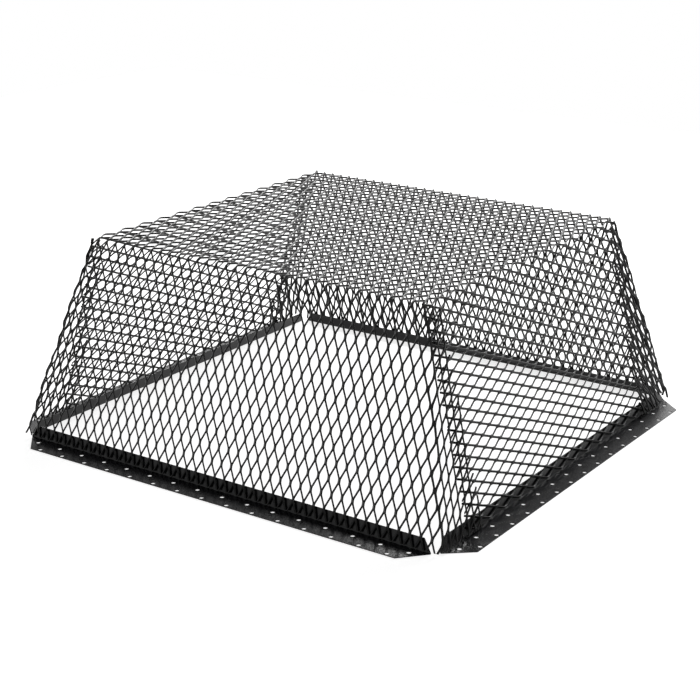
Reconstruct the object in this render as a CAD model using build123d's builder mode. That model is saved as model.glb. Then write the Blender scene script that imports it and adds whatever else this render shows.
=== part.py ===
"""Roof vent guard: a folded cage of expanded steel mesh on four punched mounting flanges.

The cage is one blank of expanded mesh. Its middle is the square top, two flaps fold down to the
front and back walls, and two to the side walls. The front and back walls are wider than the top,
and their wings fold round the corners and lie over the edges of the side walls.

Origin: centre of the base, on the underside of the flanges. +Z up, -Y to the front wall.
"""

import os
from math import atan, ceil, cos, degrees, hypot, radians, sin, tan

from build123d import *

# Overall form, in millimetres and degrees
base_side = 690.0  # square of the fold lines between the flanges' flat and upright legs
cage_height = 293.6  # underside of the flanges to the outside of the top
wall_lean = 14.7  # lean of every wall from upright, towards the middle

# Expanded mesh. Its openings and bars are drawn coarser than the real ones, all by one factor,
# so the open share of a wall is the real one.
mesh_depth = 4.2  # depth of one layer of raised mesh
mesh_short_pitch = 16.15
mesh_long_pitch = 40.2
mesh_bar = 2.1  # width of a bar, seen square on
drawn_coarser = 3.6
fold_band = 4.0  # steel left beside a fold or a cut edge
smallest_opening = 350.0  # square millimetres; a cut corner of an opening under this stays shut

# Wings of the front and back walls
wing_reach = 104.0  # wing's free edge from the corner of the base, along the base
wing_fall = 15.0  # slope of a wing's top edge, down from its corner

# Mounting flanges
flange_sheet = 1.2  # thickness of the bent sheet
flange_flat = 35.0  # width of the flat leg, from the fold line outwards
flange_leg = 17.0  # height of the upright leg, along its slope
flange_bend = 1.0  # inside radius of the bend
corner_gap = 9.0  # end of a fold line from the corner of the base square
flat_end_cut = 30.5  # how much shorter each end of the flat leg is at its outer edge
leg_end_cut = 12.5  # how much shorter each end of the upright leg is at its upper edge
mesh_lift = 1.0  # lower edge of the mesh above the flat leg, clear of the bend

# Screw holes, in two staggered rows along each flange. The end holes of the inner row are round,
# and the others are drawn with a few flat sides.
hole_diameter = 6.5
hole_pitch = 41.6
inner_row_holes = 16
inner_row_inset = 12.5  # inner row of holes from the fold line
outer_row_inset = 30.0  # outer row of holes from the fold line
hole_sides = 8

# Worked out from the sizes above
lean = radians(wall_lean)
base_half = base_side / 2
wall_rise = cage_height - flange_sheet  # fold lines to the outside of the top
opening_short_pitch = drawn_coarser * mesh_short_pitch
opening_long_pitch = drawn_coarser * mesh_long_pitch
bar_width = drawn_coarser * mesh_bar


def half_width(height, layers):
    """Half the distance between two opposite walls' outer faces, at a height above the fold lines."""
    return base_half + layers * mesh_depth / cos(lean) - height * tan(lean)


def slope_at(height, layers):
    """Distance up a wall's slope at which its outer face is at a height above the fold lines."""
    return (height - layers * mesh_depth * sin(lean)) / cos(lean)


# The front and back walls are one layer out from the flanges' legs. The side walls are too,
# and the wings lie over them as a second layer.
top_half_x = half_width(wall_rise, 2)
top_half_y = half_width(wall_rise, 1)
wing_edge = base_half - wing_reach  # free edges of the wings, from the middle of a side wall


def wall_plane(turn, layers=0):
    """Plane of one wall's outer face: X along the base, Y up the slope, Z outwards."""
    foot = Vector(0, -base_half, 0).rotate(Axis.Z, turn) + Vector(0, 0, flange_sheet)
    outward = Vector(0, -cos(lean), sin(lean)).rotate(Axis.Z, turn)
    along = Vector(1, 0, 0).rotate(Axis.Z, turn)
    return Plane(origin=foot, x_dir=along, z_dir=outward).offset(layers * mesh_depth)


def wall_outline(foot_half, top_half, top_layers):
    """Corners of a wall that narrows from its foot to its top, in its own plane."""
    foot = slope_at(mesh_lift, 0)
    top = slope_at(wall_rise, top_layers)
    return [(-foot_half, foot), (foot_half, foot), (top_half, top), (-top_half, top)]


def staggered(reach_x, reach_y, pitch_x, pitch_y):
    """Places of the staggered openings that lie within a reach of the pattern's middle."""
    rows = ceil(2 * reach_y / pitch_y)
    columns = ceil(reach_x / pitch_x)
    for row in range(-rows, rows + 1):
        for column in range(-columns, columns + 1):
            yield Location(((column + row % 2 / 2) * pitch_x, row * pitch_y / 2))


def diamond(pitch_x, pitch_y):
    """Corners of one opening, half a bar's width in from its four bars' middle lines."""
    share = 1 - bar_width * hypot(pitch_x, pitch_y) / (pitch_x * pitch_y)
    across = pitch_x / 2 * share
    along = pitch_y / 2 * share
    return [(across, 0), (0, along), (-across, 0), (0, -along)]


upright_diamond = diamond(opening_short_pitch, opening_long_pitch)
level_diamond = diamond(opening_long_pitch, opening_short_pitch)


def mesh_sheet(plane, outline, opening, places):
    """One wall of mesh as a sketch: its outline, less the openings inside its solid edge bands."""
    with BuildSketch() as field:
        Polygon(*outline)
        offset(amount=-fold_band, kind=Kind.INTERSECTION)
    with BuildSketch() as openings:
        with Locations(*places):
            Polygon(*opening)
        add(field.sketch, mode=Mode.INTERSECT)
    with BuildSketch(plane) as sheet:
        Polygon(*outline)
        kept = [gap for gap in openings.faces() if gap.area > smallest_opening]
        add(kept, mode=Mode.SUBTRACT)
    return sheet.sketch


def top_sheet():
    """The square top, with its openings long from front to back. It is wider beside the wings."""
    wide, narrow = top_half_x, half_width(wall_rise, 1)
    quarter = [(narrow, 0), (narrow, wing_edge), (wide, wing_edge), (wide, top_half_y)]
    right = [(x, -y) for x, y in reversed(quarter)] + quarter
    outline = right + [(-x, -y) for x, y in right]
    places = staggered(wide, top_half_y, opening_short_pitch, opening_long_pitch)
    return mesh_sheet(Plane.XY.offset(cage_height), outline, upright_diamond, places)


def end_wall_sheet(turn):
    """The front or back wall, with its openings long up the slope."""
    foot = half_width(mesh_lift + mesh_depth * sin(lean), 2)
    outline = wall_outline(foot, top_half_x, 1)
    places = staggered(base_half, wall_rise, opening_short_pitch, opening_long_pitch)
    return mesh_sheet(wall_plane(turn, 1), outline, upright_diamond, places)


def side_wall_sheet(turn):
    """A side wall: a plain rectangle as wide as the top, with its openings long across it."""
    outline = wall_outline(top_half_y, top_half_y, 1)
    places = staggered(base_half, wall_rise, opening_long_pitch, opening_short_pitch)
    return mesh_sheet(wall_plane(turn, 1), outline, level_diamond, places)


def wing_sheet(turn, end):
    """A wing over one edge of a side wall; end is -1 or 1, the end of the wall that it covers.

    Its openings run on from the front or back wall's round the corner, so they lean twice as far
    as the corner does. Its top edge falls away from the corner.
    """
    foot, top = slope_at(mesh_lift, 0), slope_at(wall_rise, 2)
    corner_foot = half_width(mesh_lift + 2 * mesh_depth * sin(lean), 1)
    corner_lean = atan((corner_foot - top_half_y) / (top - foot))
    drop = (top_half_y - wing_edge) * tan(radians(wing_fall))
    outline = [
        (end * corner_foot, foot),
        (end * top_half_y, top),
        (end * wing_edge, top - drop),
        (end * wing_edge, foot),
    ]
    turned = Location((end * corner_foot, foot), end * 2 * degrees(corner_lean))
    flat_corner = Location((end * corner_foot, -foot))
    flat = staggered(2 * base_half, wall_rise, opening_short_pitch, opening_long_pitch)
    places = [turned * flat_corner * place for place in flat]
    near = [place for place in places if abs(place.position.X - end * top_half_y) < wing_reach]
    return mesh_sheet(wall_plane(turn, 2), outline, upright_diamond, near)


def mesh_cage():
    """The folded cage: top, four walls and four wings, each a sheet with its outside given."""
    sheets = [top_sheet()]
    for turn in (0, 180):
        sheets.append(end_wall_sheet(turn))
    for turn in (90, 270):
        sheets.append(side_wall_sheet(turn))
        sheets.append(wing_sheet(turn, -1))
        sheets.append(wing_sheet(turn, 1))
    faces = [face for sheet in sheets for face in sheet.faces()]
    with BuildPart() as cage:
        extrude(faces, amount=-mesh_depth)
    return cage.part


def mounting_flange():
    """The front flange: a bent angle with mitred ends and two staggered rows of holes."""
    fold_half = base_half - corner_gap
    fold = Vector(0, -base_half, flange_sheet)
    leg_top = fold + flange_leg * Vector(0, sin(lean), cos(lean))
    flat_edge = fold - Vector(0, flange_flat)
    with BuildPart() as flange:
        with BuildSketch(Plane.YZ):
            with BuildLine():
                section = [(point.Y, point.Z) for point in (flat_edge, fold, leg_top)]
                FilletPolyline(*section, radius=flange_bend)
                offset(amount=flange_sheet, side=Side.RIGHT)
            make_face()
        extrude(amount=fold_half, both=True)
        with BuildSketch():
            cut_half = fold_half - flat_end_cut
            Polygon((fold_half, fold.Y), (cut_half, flat_edge.Y), (fold_half, flat_edge.Y))
            mirror(about=Plane.YZ)
        extrude(amount=flange_sheet, mode=Mode.SUBTRACT)
        with BuildSketch(wall_plane(0)):
            cut_half = fold_half - leg_end_cut
            Polygon((fold_half, 0), (fold_half, flange_leg), (cut_half, flange_leg))
            mirror(about=Plane.YZ)
        extrude(amount=-2 * flange_sheet, mode=Mode.SUBTRACT)
        with BuildSketch():
            with Locations((0, -base_half - inner_row_inset)):
                with GridLocations((inner_row_holes - 1) * hole_pitch, 1, 2, 1):
                    Circle(hole_diameter / 2)
                with GridLocations(hole_pitch, 1, inner_row_holes - 2, 1):
                    RegularPolygon(hole_diameter / 2, hole_sides)
            with Locations((0, -base_half - outer_row_inset)):
                with GridLocations(hole_pitch, 1, inner_row_holes - 1, 1):
                    RegularPolygon(hole_diameter / 2, hole_sides)
        extrude(amount=flange_sheet, mode=Mode.SUBTRACT)
    return flange.part


def write(part, label):
    """Label a finished piece and write it to its own file."""
    part.label = label
    export_step(part, f"parts/{label}.step")


os.makedirs("parts", exist_ok=True)
write(mesh_cage(), "mesh_cage")
flange_turns = {"flange_front": 0, "flange_right": 90, "flange_back": 180, "flange_left": 270}
for label, turn in flange_turns.items():
    write(mounting_flange().rotate(Axis.Z, turn), label)
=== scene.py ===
"""Looks of the roof vent guard: a cage of raised expanded steel mesh on four punched flanges, all
powder coated in satin black, on a white floor.

The top, the front and back walls and their four wings are one folded sheet. Each side wall is a
sheet of its own, turned end for end.

Sizes are millimetres until a mesh is made. u and v are the flat sheet's own coordinates, with v
along the strands (front to back), and n is the height above the middle of the sheet.
"""

from collections import namedtuple

import bpy
import numpy as np
from mathutils import Matrix, Vector


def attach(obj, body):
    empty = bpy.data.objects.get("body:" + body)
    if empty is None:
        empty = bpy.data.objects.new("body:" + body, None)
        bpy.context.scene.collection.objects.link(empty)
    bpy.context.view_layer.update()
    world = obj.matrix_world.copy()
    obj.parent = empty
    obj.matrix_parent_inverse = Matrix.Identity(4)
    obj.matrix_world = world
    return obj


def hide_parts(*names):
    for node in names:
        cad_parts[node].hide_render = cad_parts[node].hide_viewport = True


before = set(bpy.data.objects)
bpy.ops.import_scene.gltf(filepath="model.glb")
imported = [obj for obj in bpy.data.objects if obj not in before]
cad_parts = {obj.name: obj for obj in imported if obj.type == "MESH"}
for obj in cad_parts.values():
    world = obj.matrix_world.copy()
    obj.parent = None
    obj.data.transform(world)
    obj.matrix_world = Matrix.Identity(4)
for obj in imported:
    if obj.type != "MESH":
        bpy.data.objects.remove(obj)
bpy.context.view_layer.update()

MM = 0.001

# The cage's form, as in the solids
BASE_HALF = 345.0  # half the square of the flanges' fold lines
CAGE_TOP = 293.6
SHEET = 1.2  # thickness of the flanges' sheet
LEAN = np.radians(14.7)
LAYER = 4.2  # depth of one layer of raised mesh
FOOT = 3.4  # middle of the mesh's lowest strands above the floor
CUT_FOOT = 17.0  # the same beside three of the corners, where the wings are cut shorter
CUT_REACH = 32.0  # reach of that shorter foot from the corner line, along the sheet
PANEL_EDGE = 271.0  # cut edges of the side panels, from the middle
WING_EDGE = 241.0  # free edges of the wings, from the middle
WING_TOP_FALL = np.tan(np.radians(15.0))  # fall of a wing's top edge away from its corner

# Raised expanded mesh: strips run along v in zigzags and join their two neighbours by turns
SHORT_PITCH = 16.15
LONG_PITCH = 40.2
STRAND_WIDTH = 3.0
STRAND_THICKNESS = 2.0
STRAND_CHAMFER = 0.28
STRAND_RISE = 2.5  # highest edge of a tilted strand above the middle of the sheet
COLUMN = SHORT_PITCH / 2
ROW = LONG_PITCH / 2
# Stations from one bond to the next, and how far over the strip has come there
STATION_SHARE = np.array([0.0, 0.10, 0.18, 0.82, 0.90])
CROSSED_SHARE = np.array([0.0, 0.00, 0.06, 0.94, 1.00])

Pattern = namedtuple("Pattern", "tilt wing_tilt bond_row bond_column")
# Tilt of a sheet's strands, and of those on its wings, which folding the corners has turned over;
# v of one of its rows of bonds, and u of one bond in that row
LONG_PATTERN = Pattern(np.radians(38.0), np.radians(-24.0), -270.8, -3.2)
SIDE_PATTERN = Pattern(np.radians(-32.0), np.radians(-32.0), -275.6, -6.6)
TILT_CHANGE = 8.0  # the strands turn over within this reach past the corner line

# Folds, at the middle of the sheet
FOLD_RADIUS = 3.5
CORNER_RADIUS = 9.0  # the corners are folded more softly
TOP_TURN = np.pi / 2 - LEAN  # from the top to a wall
CORNER_TURN = np.arccos(np.sin(LEAN) ** 2)  # from a wall to the next
CORNER_SLANT = np.arctan(np.sin(LEAN))  # slant of a corner line in the flat sheet
TOP_REACH = FOLD_RADIUS * np.tan(TOP_TURN / 2)  # fold's start to where the two planes meet
CORNER_REACH = CORNER_RADIUS * np.tan(CORNER_TURN / 2)
TOP_MIDDLE = CAGE_TOP - STRAND_RISE
WALL_RISE = TOP_MIDDLE - SHEET
APEX = BASE_HALF + LAYER / 2 / np.cos(LEAN) - WALL_RISE * np.tan(LEAN)  # half the square top
WING_APEX = APEX + LAYER / np.cos(LEAN)  # the same to a wing, one layer further out
FOLD_START = APEX - TOP_REACH
FOLD_LENGTH = FOLD_RADIUS * TOP_TURN
SLOPE_START = FOLD_START + FOLD_LENGTH - TOP_REACH  # v or u from which a wall's slope is counted
WALL_FOOT = SLOPE_START + (TOP_MIDDLE - FOOT) / np.cos(LEAN)
TOP_SIDE_SPLIT = FOLD_START + FOLD_LENGTH / 2  # u at which the top ends and a side wall starts

# How finely the strips are cut and drawn
FOOT_MARGIN = 2.0  # a side wall's lowest strip has its middle at least this far above its foot
FOLD_MARGIN = 1.5  # strips beside the top's width start at least this far down the slope
SLANT_MARGIN = 90.0  # more than a corner line moves outwards from the top to the foot
CUT_STEP = 0.25  # steps in which a strip's ends are looked for
SHORTEST_STRIP = 3.0
FOLD_STEPS = 6  # stations in a fold
WALL_STEP = 10.0  # further stations down a wall, for the bend round the corner
LEAST_STEP = 0.02  # stations nearer to each other than this get no faces
SHARP_EDGE = np.radians(50)  # edges that turn by more are drawn sharp


def bent(distance, height, radius, turn):
    """A sheet's way round a fold that starts at distance 0: a straight run, an arc of the given
    radius and turn, and a straight run. Gives how far along and how far up each point comes."""
    angle = np.clip(distance / radius, 0, turn)
    beyond = np.maximum(distance - radius * turn, 0)
    before = np.minimum(distance, 0)
    along = before + radius * np.sin(angle) + beyond * np.cos(turn) + height * np.sin(angle)
    up = -radius * (1 - np.cos(angle)) - beyond * np.sin(turn) + height * np.cos(angle)
    return along, up


def folded_side(u, v, n):
    """The top and the two side walls: u goes over the side folds, and v stays along them."""
    along, up = bent(np.abs(u) - FOLD_START, n, FOLD_RADIUS, TOP_TURN)
    return np.stack([np.sign(u) * (FOLD_START + along), v, TOP_MIDDLE + up], -1)


def folded_end(u, v, n):
    """The front or back wall: v goes over the end fold, and past the sloping corner line the
    sheet folds again round the corner, where it is a wing. Distances along the corner line and
    past it are the sheet's own, turned by the line's slant; the part past it goes round the fold,
    and both are turned back and laid in the leaning wall."""
    along, up = bent(np.abs(v) - FOLD_START, n, FOLD_RADIUS, TOP_TURN)
    arc = np.stack([u, np.sign(v) * (FOLD_START + along), TOP_MIDDLE + up], -1)
    down = np.abs(v) - SLOPE_START
    over = np.abs(u) - WING_APEX
    sin_slant, cos_slant = np.sin(CORNER_SLANT), np.cos(CORNER_SLANT)
    on_line = over * sin_slant + down * cos_slant
    past_line = over * cos_slant - down * sin_slant
    along, up = bent(past_line + CORNER_REACH, n, CORNER_RADIUS, CORNER_TURN)
    past_line = along - CORNER_REACH
    out = WING_APEX + on_line * sin_slant + past_line * cos_slant
    down = on_line * cos_slant - past_line * sin_slant
    y = APEX + down * np.sin(LEAN) + up * np.cos(LEAN)
    z = TOP_MIDDLE - down * np.cos(LEAN) + up * np.sin(LEAN)
    wall = np.stack([np.sign(u) * out, np.sign(v) * y, z], -1)
    on_arc = (np.abs(v) < FOLD_START + FOLD_LENGTH) & (np.abs(u) < WING_APEX - CORNER_REACH)
    return np.where(on_arc[..., None], arc, wall)


def strand_tilt(strip, v, pattern):
    """Tilt of a strip at v: the sheet's own tilt up to the sloping corner line, and past it an
    even change to the wings' own."""
    middle = pattern.bond_column + (strip + 0.5) * COLUMN
    down = np.maximum(np.abs(v) - SLOPE_START, 0)
    past_corner = np.abs(middle) - WING_APEX - down * np.tan(CORNER_SLANT)
    turned = np.clip(past_corner / TILT_CHANGE, 0, 1)
    return pattern.tilt + turned * (pattern.wing_tilt - pattern.tilt)


def strip_middle(strip, v, pattern):
    """u and n of the middle line of a strip at v. It runs between its two neighbours' bonds, half
    a column less half its own width to either side, and rises and falls with its tilt. Where its
    number and the row's are both odd or both even it starts beside the neighbour of the lower
    number, or else beside the other."""
    row = np.floor((v - pattern.bond_row) / ROW)
    share = (v - pattern.bond_row) / ROW - row
    crossed = np.interp(share, np.append(STATION_SHARE, 1), np.append(CROSSED_SHARE, 1))
    starts_below = (row.astype(int) + strip) % 2 == 0
    side = np.where(starts_below, 2 * crossed - 1, 1 - 2 * crossed)
    tilt = strand_tilt(strip, v, pattern)
    half_width = STRAND_WIDTH / 2 * np.cos(tilt)
    u = pattern.bond_column + (strip + 0.5) * COLUMN + side * (COLUMN / 2 - half_width)
    n = -side * STRAND_WIDTH / 2 * np.sin(tilt)
    return u, n


def strip_section(tilt):
    """A strip's section at each given tilt, as eight points in u and n: a bar with its corners
    taken off, turned by the tilt."""
    tilt = tilt[..., None]
    w, t, c = STRAND_WIDTH / 2, STRAND_THICKNESS / 2, STRAND_CHAMFER
    quarter = np.array([(w, t - c), (w - c, t)])
    across = np.concatenate([quarter[:, 0], -quarter[::-1, 0], -quarter[:, 0], quarter[::-1, 0]])
    through = np.concatenate([quarter[:, 1], quarter[::-1, 1], -quarter[:, 1], -quarter[::-1, 1]])
    du = across * np.cos(tilt) - through * np.sin(tilt)
    dn = across * np.sin(tilt) + through * np.cos(tilt)
    return du, dn


def stations(low, high, extra, pattern):
    """Every station of the zigzag between two values of v, with those two and the extra ones."""
    first, last = (np.array([low, high]) - pattern.bond_row) / ROW
    rows = np.arange(np.floor(first) - 1, np.ceil(last) + 1)
    every = (pattern.bond_row + (rows[:, None] + STATION_SHARE) * ROW).ravel()
    every = np.concatenate([every, extra, [low, high]])
    every = np.unique(np.round(every, 3))
    return every[(every >= low) & (every <= high)]


def longest_run(keep):
    """First and last index of the longest run of kept samples in each row."""
    starts, ends = [], []
    for row in keep:
        edges = np.flatnonzero(np.diff(np.concatenate([[0], row.astype(int), [0]])))
        runs = edges.reshape(-1, 2)
        best = runs[np.argmax(runs[:, 1] - runs[:, 0])] if len(runs) else (0, 1)
        starts.append(best[0])
        ends.append(best[1] - 1)
    return np.array(starts), np.array(ends)


def strips_mesh(name, strips, at, low, high, fold, pattern):
    """Strips as one mesh. at holds the stations of v, low and high cut each strip to its own
    length, and the section is carried along the middle line and then folded. Both ends are
    closed."""
    at = np.clip(at[None, :], low[:, None], high[:, None])
    u, n = strip_middle(strips[:, None], at, pattern)
    du, dn = strip_section(strand_tilt(strips[:, None], at, pattern))
    along = np.broadcast_to(at[..., None], du.shape)
    points = fold(u[..., None] + du, along, n[..., None] + dn)
    count, length, around, _ = points.shape
    number = np.arange(points.size // 3).reshape(count, length, around)
    real = np.diff(at, axis=1) > LEAST_STEP
    ahead = np.roll(number, -1, axis=2)
    quads = np.stack([number[:, :-1], number[:, 1:], ahead[:, 1:], ahead[:, :-1]], -1)
    quads = quads[real].reshape(-1, 4)
    drawn = np.flatnonzero(real.any(axis=1))
    starts = number[drawn, np.argmax(real[drawn], axis=1)]
    ends = number[drawn, length - 1 - np.argmax(real[drawn, ::-1], axis=1)]
    caps = np.concatenate([starts, ends[:, ::-1]])
    return mesh_object(name, points.reshape(-1, 3), quads, caps)


def mesh_object(name, points, quads, caps):
    """A mesh object from points in millimetres, four-sided faces and end caps."""
    used, places = np.unique(np.concatenate([quads.ravel(), caps.ravel()]), return_inverse=True)
    totals = np.concatenate([np.full(len(quads), 4), np.full(len(caps), caps.shape[1])])
    mesh = bpy.data.meshes.new(name)
    mesh.vertices.add(len(used))
    mesh.vertices.foreach_set("co", (points[used] * MM).astype(np.float32).ravel())
    mesh.loops.add(len(places))
    mesh.loops.foreach_set("vertex_index", places.astype(np.int32))
    mesh.polygons.add(len(totals))
    mesh.polygons.foreach_set("loop_start", (np.cumsum(totals) - totals).astype(np.int32))
    mesh.polygons.foreach_set("use_smooth", np.ones(len(totals), bool))
    mesh.update(calc_edges=True)
    mesh.validate()
    mesh.set_sharp_from_angle(angle=SHARP_EDGE)
    piece = bpy.data.objects.new(name, mesh)
    bpy.context.scene.collection.objects.link(piece)
    return piece


def strip_numbers(low, high, pattern):
    """Numbers of the strips whose middle lies between two values of u."""
    first = np.ceil((low - pattern.bond_column) / COLUMN - 0.5)
    last = np.floor((high - pattern.bond_column) / COLUMN - 0.5)
    return np.arange(first, last + 1).astype(int)


def top_mesh():
    """The top, up to the start of the end folds and the middle of the side folds."""
    strips = strip_numbers(-TOP_SIDE_SPLIT, TOP_SIDE_SPLIT, LONG_PATTERN)
    at = stations(-FOLD_START, FOLD_START, [], LONG_PATTERN)
    ends = np.full(len(strips), FOLD_START)
    return strips_mesh("mesh_top", strips, at, -ends, ends, folded_side, LONG_PATTERN)


def side_mesh(name, side):
    """A side wall, from the middle of its fold down; side is -1 on the left and 1 on the right."""
    if side > 0:
        strips = strip_numbers(TOP_SIDE_SPLIT, WALL_FOOT - FOOT_MARGIN, SIDE_PATTERN)
    else:
        strips = strip_numbers(-WALL_FOOT + FOOT_MARGIN, -TOP_SIDE_SPLIT, SIDE_PATTERN)
    at = stations(-PANEL_EDGE, PANEL_EDGE, [], SIDE_PATTERN)
    ends = np.full(len(strips), PANEL_EDGE)
    return strips_mesh(name, strips, at, -ends, ends, folded_side, SIDE_PATTERN)


def end_mesh(name, end):
    """The front or back wall with its two wings; end is -1 at the front and 1 at the back. A
    strip is kept where it lies below the top fold or the wing's top edge, outside the wing's free
    edge and above the foot, which is higher beside all corners but the front right one."""
    reach = WING_APEX + (BASE_HALF - WING_EDGE) + SLANT_MARGIN
    strips = strip_numbers(-reach, reach, LONG_PATTERN)
    samples = np.arange(FOLD_START, WALL_FOOT, CUT_STEP)
    v = np.broadcast_to(end * samples, (len(strips), len(samples)))
    u, n = strip_middle(strips[:, None], v, LONG_PATTERN)
    place = folded_end(u, v, np.zeros_like(u))
    fall = (TOP_MIDDLE - place[..., 2]) / np.cos(LEAN)
    from_corner = WING_APEX - np.abs(place[..., 1])
    under_top = (fall > FOLD_MARGIN) & (fall > WING_TOP_FALL * from_corner)
    middle = LONG_PATTERN.bond_column + (strips[:, None] + 0.5) * COLUMN
    keep = (under_top | (np.abs(middle) < FOLD_START)) & (np.abs(place[..., 1]) > WING_EDGE)
    past_corner = np.abs(u) - WING_APEX - (samples - SLOPE_START) * np.tan(CORNER_SLANT)
    short = (past_corner > 0) & (past_corner < CUT_REACH) & ((u < 0) | (end > 0))
    keep &= place[..., 2] > np.where(short, CUT_FOOT, FOOT)
    first, last = longest_run(keep)
    near, far = samples[first], samples[last]
    kept = far - near > SHORTEST_STRIP
    strips, near, far = strips[kept], near[kept], far[kept]
    in_fold = FOLD_START + np.linspace(0, FOLD_LENGTH, FOLD_STEPS)
    down_wall = np.arange(FOLD_START, WALL_FOOT, WALL_STEP)
    extra = end * np.concatenate([in_fold, down_wall])
    low, high = (near, far) if end > 0 else (-far, -near)
    at = stations(*sorted((end * FOLD_START, end * WALL_FOOT)), extra, LONG_PATTERN)
    return strips_mesh(name, strips, at, low, high, folded_end, LONG_PATTERN)


def linear(hex_colour):
    """An sRGB hex value as a linear colour with alpha."""
    channels = np.array([int(hex_colour[k:k + 2], 16) for k in (1, 3, 5)]) / 255
    straight = np.where(channels <= 0.04045, channels / 12.92, ((channels + 0.055) / 1.055) ** 2.4)
    return (*straight, 1.0)


def node(tree, kind, settings=None, inputs=None):
    """Adds a node, sets its properties and its inputs, and links an input given as a socket."""
    made = tree.nodes.new(kind)
    for key, value in (settings or {}).items():
        setattr(made, key, value)
    for key, value in (inputs or {}).items():
        if isinstance(value, bpy.types.NodeSocket):
            tree.links.new(value, made.inputs[key])
        else:
            made.inputs[key].default_value = value
    return made


SHADE_PATCH = MM * 200 / 7  # patches of shade, 28.6 mm across
SHADE_RANGE = (0.35, 0.65)  # values of the noise over which the shade goes from dark to light
PEEL_RIPPLE = MM * 2.0  # ripples of the orange peel
PEEL_DEPTH = MM * 0.1  # deeper than the real one, so that it shows


def powder_coat(name, dark, light, roughness, ior, peel):
    """Black powder coat, baked on bare steel. The eye gets a satin black with a faint orange peel
    and slight shifts of shade where the coat is thinner: noise picks a shade between dark and
    light, and a finer noise is the height of the peel."""
    material = bpy.data.materials.new(name)
    material.use_nodes = True
    tree = material.node_tree
    shader = tree.nodes["Principled BSDF"]
    where = node(tree, "ShaderNodeTexCoord").outputs["Object"]
    shade = node(tree, "ShaderNodeTexNoise", inputs={
        "Vector": where, "Scale": 1 / SHADE_PATCH, "Detail": 3.0})
    ramp = node(tree, "ShaderNodeValToRGB", inputs={"Fac": shade.outputs["Fac"]})
    for stop, value, colour in zip(ramp.color_ramp.elements, SHADE_RANGE, (dark, light)):
        stop.position = value
        stop.color = linear(colour)
    tree.links.new(ramp.outputs["Color"], shader.inputs["Base Color"])
    ripple = node(tree, "ShaderNodeTexNoise", inputs={
        "Vector": where, "Scale": 1 / PEEL_RIPPLE, "Detail": 2.0})
    bump = node(tree, "ShaderNodeBump", inputs={
        "Strength": peel, "Distance": PEEL_DEPTH, "Height": ripple.outputs["Fac"]})
    tree.links.new(bump.outputs["Normal"], shader.inputs["Normal"])
    shader.inputs["Roughness"].default_value = roughness
    shader.inputs["IOR"].default_value = ior
    return material


WORLD_LIGHT = 0.25  # strength of the world where it lights the guard
FLOOR_GLOW = 0.8  # added to the lit floor where it is seen, so that it is seen white
FLOOR_HALF = 2.4  # metres: the floor ends before the lamps, and the white world goes on from there
FLOOR_LEVEL = -0.0004  # metres: just under the flanges


def seen_rays(tree):
    """1 for camera, glossy and transmission rays, which see white, and 0 for those that light."""
    path = node(tree, "ShaderNodeLightPath")
    first = node(tree, "ShaderNodeMath", {"operation": "MAXIMUM"}, {
        0: path.outputs["Is Camera Ray"], 1: path.outputs["Is Glossy Ray"]})
    seen = node(tree, "ShaderNodeMath", {"operation": "MAXIMUM"}, {
        0: first.outputs[0], 1: path.outputs["Is Transmission Ray"]})
    return seen.outputs[0]


def white_world():
    """A world that is seen white and lights the guard plainly."""
    world = bpy.data.worlds.new("white_studio")
    bpy.context.scene.world = world
    world.use_nodes = True
    tree = world.node_tree
    tree.nodes.clear()
    seen = seen_rays(tree)
    lit = node(tree, "ShaderNodeBackground", inputs={
        "Color": linear("#ffffff"), "Strength": WORLD_LIGHT})
    white = node(tree, "ShaderNodeBackground", inputs={
        "Color": linear("#ffffff"), "Strength": 1.0})
    mix = node(tree, "ShaderNodeMixShader", inputs={
        0: seen, 1: lit.outputs[0], 2: white.outputs[0]})
    node(tree, "ShaderNodeOutputWorld", inputs={"Surface": mix.outputs[0]})


def paper_floor():
    """A floor of matt pale grey paper that keeps the guard's soft shadow, and is seen white."""
    paper = bpy.data.materials.new("white_paper_sweep")
    paper.use_nodes = True
    tree = paper.node_tree
    tree.nodes.clear()
    seen = seen_rays(tree)
    matt = node(tree, "ShaderNodeBsdfDiffuse", inputs={"Color": linear("#bcbcbc")})
    glow = node(tree, "ShaderNodeEmission", inputs={
        "Color": linear("#ffffff"), "Strength": FLOOR_GLOW})
    both = node(tree, "ShaderNodeAddShader", inputs={0: matt.outputs[0], 1: glow.outputs[0]})
    mix = node(tree, "ShaderNodeMixShader", inputs={
        0: seen, 1: matt.outputs[0], 2: both.outputs[0]})
    node(tree, "ShaderNodeOutputMaterial", inputs={"Surface": mix.outputs[0]})
    corners = np.array([(-1, -1, 0), (1, -1, 0), (1, 1, 0), (-1, 1, 0)]) * FLOOR_HALF
    mesh = bpy.data.meshes.new("floor")
    mesh.from_pydata(corners.tolist(), [], [(0, 1, 2, 3)])
    mesh.materials.append(paper)
    floor = bpy.data.objects.new("floor", mesh)
    bpy.context.scene.collection.objects.link(floor)
    floor.location.z = FLOOR_LEVEL


def soft_lamp(name, place, target, size, power):
    """A soft box that faces a point, with its width and height in metres and its power in watts."""
    light = bpy.data.lights.new(name, "AREA")
    light.shape = "RECTANGLE"
    light.size, light.size_y = size
    light.energy = power
    lamp = bpy.data.objects.new(name, light)
    bpy.context.scene.collection.objects.link(lamp)
    lamp.location = place
    lamp.rotation_euler = (Vector(target) - Vector(place)).to_track_quat("-Z", "Y").to_euler()


# The photograph's viewpoint, from the right of the front and from above: angles, then metres
CAMERA_TURN, CAMERA_RISE, CAMERA_ROLL = np.radians([33.669, 18.543, 0.754])
CAMERA_TARGET = np.array([-0.18514, 0.25254, 0.0])
CAMERA_DISTANCE = 2.75998
FOCAL_SHARE = 1640.08 / 700  # focal length over the picture's width
SENSOR_WIDTH = 36.0
SIGHT_END = 100.0  # metres: the camera sees no further


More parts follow.
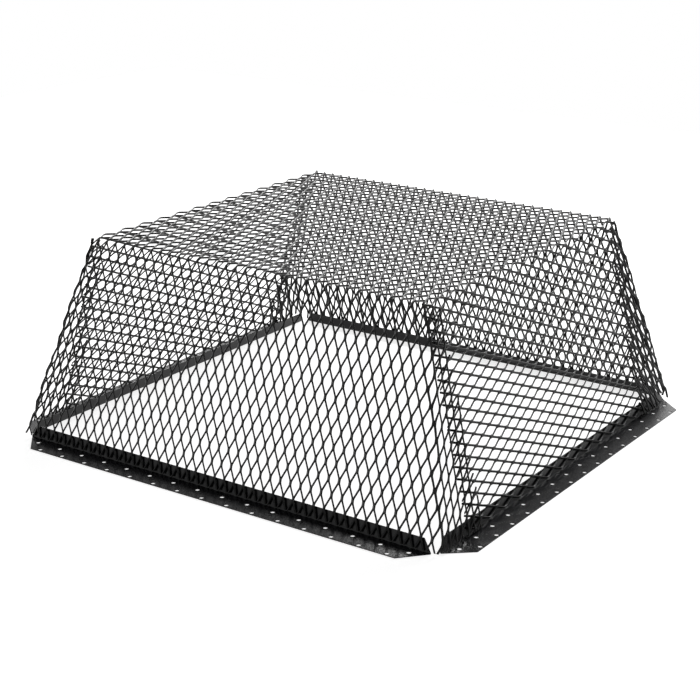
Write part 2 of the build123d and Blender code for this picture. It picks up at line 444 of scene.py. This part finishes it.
def camera():
    """A camera at the photograph's viewpoint, with its axes turned by the roll."""
    sin_turn, cos_turn = np.sin(CAMERA_TURN), np.cos(CAMERA_TURN)
    sin_rise, cos_rise = np.sin(CAMERA_RISE), np.cos(CAMERA_RISE)
    sin_roll, cos_roll = np.sin(CAMERA_ROLL), np.cos(CAMERA_ROLL)
    back = np.array([sin_turn * cos_rise, -cos_turn * cos_rise, sin_rise])
    right = np.array([cos_turn, sin_turn, 0.0])
    up = np.cross(back, right)
    axes = np.eye(4)
    axes[:3, 0] = cos_roll * right + sin_roll * up
    axes[:3, 1] = -sin_roll * right + cos_roll * up
    axes[:3, 2] = back
    axes[:3, 3] = CAMERA_TARGET + back * CAMERA_DISTANCE
    lens = bpy.data.cameras.new("camera")
    lens.sensor_width = SENSOR_WIDTH
    lens.lens = SENSOR_WIDTH * FOCAL_SHARE
    lens.clip_end = SIGHT_END
    made = bpy.data.objects.new("camera", lens)
    bpy.context.scene.collection.objects.link(made)
    made.matrix_world = Matrix(axes.tolist())
    bpy.context.scene.camera = made


# One black powder coat: deep black on the strands, darkened further there as painted shade. On the
# flanges it is paler as painted sheen, and smoother.
# Both have a lower index than the usual 1.5, so light from behind glares less on them.
mesh_coat_with_painted_shade = powder_coat("powder_coat_with_painted_shade_on_mesh", "#020202", "#050505", 0.32, 1.28, 0.25)
sheet_coat_with_painted_sheen = powder_coat("powder_coat_with_painted_sheen_on_sheet", "#0c0c0e", "#121214", 0.26, 1.32, 0.35)

mesh_pieces = [
    top_mesh(),
    end_mesh("mesh_front", -1),
    end_mesh("mesh_back", 1),
    side_mesh("mesh_left", -1),
    side_mesh("mesh_right", 1),
]
for piece in mesh_pieces:
    piece.data.materials.append(mesh_coat_with_painted_shade)
    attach(piece, "root")
    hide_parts("mesh_cage")
for name, cad_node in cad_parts.items():
    if name.startswith("flange"):
        cad_node.data.materials.clear()
        cad_node.data.materials.append(sheet_coat_with_painted_sheen)

camera()
white_world()
paper_floor()
# A low soft box behind lights the insides of the walls, and a high one puts the sheen on the top
soft_lamp("lamp_behind", (-1.3, 2.75, 0.36), (0, 0, 0.2), (3.0, 0.5), 15.0)
soft_lamp("lamp_high", (-0.4, 2.6, 2.3), (0, 0, 0.29), (2.4, 1.2), 180.0)
bpy.context.scene.view_settings.view_transform = "Standard"
